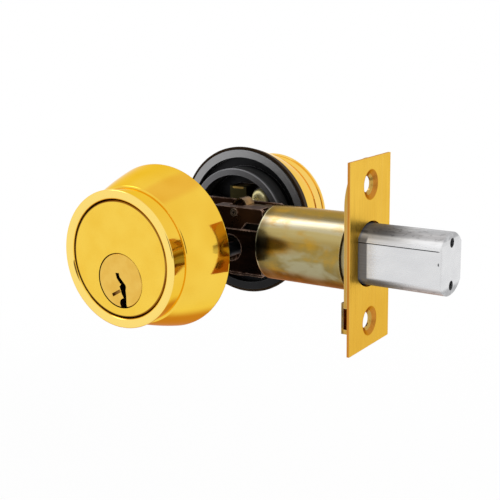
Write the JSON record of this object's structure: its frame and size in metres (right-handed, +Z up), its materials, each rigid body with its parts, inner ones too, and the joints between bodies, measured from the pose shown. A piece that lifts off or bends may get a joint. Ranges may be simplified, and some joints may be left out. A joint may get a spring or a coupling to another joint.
{
  "type": "door deadbolt",
  "caption": "Double-cylinder tubular deadbolt: a keyed brass cylinder with a tapered collar on each side of the door, and a square-cornered faceplate with a thrown bolt.",
  "frame": {"origin": "where the axis of the door's cross bore meets the axis of the latch bore, in the middle of the door's thickness", "axes": "+X along the bolt, toward the door's edge; +Y along the cross bore, toward the inner face of the door; +Z up"},
  "size_m": [0.1112, 0.087, 0.0572],
  "materials": {
    "polished_brass": "polished",
    "cylinder_brass": "polished face, plain behind",
    "plug_brass": "satin",
    "pin_brass": "machined",
    "spring_wire": "drawn wire",
    "spring_steel": "dull, slightly olive",
    "bright_steel": "plain",
    "die_cast_zinc": "dark satin casting",
    "yellow_zinc_screws": "yellow zinc plated",
    "dark_case": "dark oxide, worn at the edges",
    "black_oxide_screws": "black oxide",
    "rivet_steel": "plain",
    "plain_steel": "plain",
    "bolt_nickel": "satin nickel plated",
    "yellow_zinc_tube": "yellow zinc plated, iridescent",
    "guide_sleeve": "black",
    "satin_brass": "vertically brushed",
    "hardened_steel": "plain"
  },
  "bodies": {
    "lock_frame": {"outer_ring": "die_cast_zinc", "outer_cylinder": "cylinder_brass", "outer_spring_cover": "pin_brass", "outer_cylinder_screws": "yellow_zinc_screws", "outer_case_plate": "dark_case", "inner_ring": "die_cast_zinc", "inner_cylinder": "cylinder_brass", "inner_spring_cover": "pin_brass", "inner_cylinder_screws": "yellow_zinc_screws", "inner_case_plate": "dark_case", "mounting_screws": "black_oxide_screws", "case_rivets": "rivet_steel", "spring_rivet": "rivet_steel", "detent_spring": "spring_steel", "latch_tube": "yellow_zinc_tube", "front_sleeve": "guide_sleeve", "backing_plate": "yellow_zinc_tube", "faceplate": "satin_brass"},
    "bolt": {"bolt_head": "bolt_nickel", "bolt_tail": "plain_steel", "tail_rivets": "bright_steel"},
    "upper_rod": {"saw_rod_upper": "hardened_steel"},
    "lower_rod": {"saw_rod_lower": "hardened_steel"},
    "cam": {"cam_hub": "plain_steel", "drive_pin": "bright_steel"},
    "outer_collar": {"outer_collar": "polished_brass"},
    "outer_key_plug": {"outer_plug": "plug_brass", "outer_plug_clip": "spring_steel", "outer_tailpiece": "bright_steel"},
    "outer_key_pins": {"outer_key_pin_1": "pin_brass", "outer_key_pin_2": "pin_brass", "outer_key_pin_3": "pin_brass", "outer_key_pin_4": "pin_brass", "outer_key_pin_5": "pin_brass"},
    "outer_driver_pins": {"outer_driver_pin_1": "pin_brass", "outer_driver_pin_2": "pin_brass", "outer_driver_pin_3": "pin_brass", "outer_driver_pin_4": "pin_brass", "outer_driver_pin_5": "pin_brass", "outer_pin_springs": "spring_wire"},
    "inner_collar": {"inner_collar": "polished_brass"},
    "inner_key_plug": {"inner_plug": "plug_brass", "inner_plug_clip": "spring_steel", "inner_tailpiece": "bright_steel"},
    "inner_key_pins": {"inner_key_pin_1": "pin_brass", "inner_key_pin_2": "pin_brass", "inner_key_pin_3": "pin_brass", "inner_key_pin_4": "pin_brass", "inner_key_pin_5": "pin_brass"},
    "inner_driver_pins": {"inner_driver_pin_1": "pin_brass", "inner_driver_pin_2": "pin_brass", "inner_driver_pin_3": "pin_brass", "inner_driver_pin_4": "pin_brass", "inner_driver_pin_5": "pin_brass", "inner_pin_springs": "spring_wire"}
  },
  "joints": [
    {"name": "bolt_slide", "type": "slide", "parent": "lock_frame", "child": "bolt", "axis": [1, 0, 0], "range_m": [-0.0254, 0]},
    {"name": "upper_rod_roll", "type": "hinge", "parent": "bolt", "child": "upper_rod", "pos_m": [0.07, 0, 0.0062], "axis": [1, 0, 0], "continuous": true},
    {"name": "lower_rod_roll", "type": "hinge", "parent": "bolt", "child": "lower_rod", "pos_m": [0.07, 0, -0.0062], "axis": [1, 0, 0], "continuous": true},
    {"name": "cam_turn", "type": "hinge", "parent": "lock_frame", "child": "cam", "pos_m": [0, 0, -0.0065], "axis": [0, 1, 0], "range_deg": [-110.5, 0.5]},
    {"name": "outer_collar_spin", "type": "hinge", "parent": "lock_frame", "child": "outer_collar", "pos_m": [0, -0.034, 0], "axis": [0, 1, 0], "continuous": true},
    {"name": "outer_plug_turn", "type": "hinge", "parent": "lock_frame", "child": "outer_key_plug", "pos_m": [0, -0.03, -0.0065], "axis": [0, 1, 0], "range_deg": [-110.5, 0.5]},
    {"name": "outer_key_pins_drop", "type": "slide", "parent": "outer_key_plug", "child": "outer_key_pins", "axis": [0, 0, 1], "range_m": [-0.0014, 0]},
    {"name": "outer_driver_pins_lift", "type": "slide", "parent": "lock_frame", "child": "outer_driver_pins", "axis": [0, 0, 1], "range_m": [0, 0.0015], "stiffness_N_per_m": 120, "springref_m": -0.003, "deforming": ["outer_pin_springs"]},
    {"name": "inner_collar_spin", "type": "hinge", "parent": "lock_frame", "child": "inner_collar", "pos_m": [0, 0.034, 0], "axis": [0, 1, 0], "continuous": true},
    {"name": "inner_plug_turn", "type": "hinge", "parent": "lock_frame", "child": "inner_key_plug", "pos_m": [0, 0.03, -0.0065], "axis": [0, 1, 0], "range_deg": [-110.5, 0.5]},
    {"name": "inner_key_pins_drop", "type": "slide", "parent": "inner_key_plug", "child": "inner_key_pins", "axis": [0, 0, 1], "range_m": [-0.0014, 0]},
    {"name": "inner_driver_pins_lift", "type": "slide", "parent": "lock_frame", "child": "inner_driver_pins", "axis": [0, 0, 1], "range_m": [0, 0.0015], "stiffness_N_per_m": 120, "springref_m": -0.003, "deforming": ["inner_pin_springs"]}
  ],
  "couplings": [
    {"joint": "cam_turn", "follows": "bolt_slide", "rad_per_m": 75.585},
    {"joint": "outer_plug_turn", "follows": "bolt_slide", "rad_per_m": 75.585},
    {"joint": "inner_plug_turn", "follows": "bolt_slide", "rad_per_m": 75.585}
  ]
}
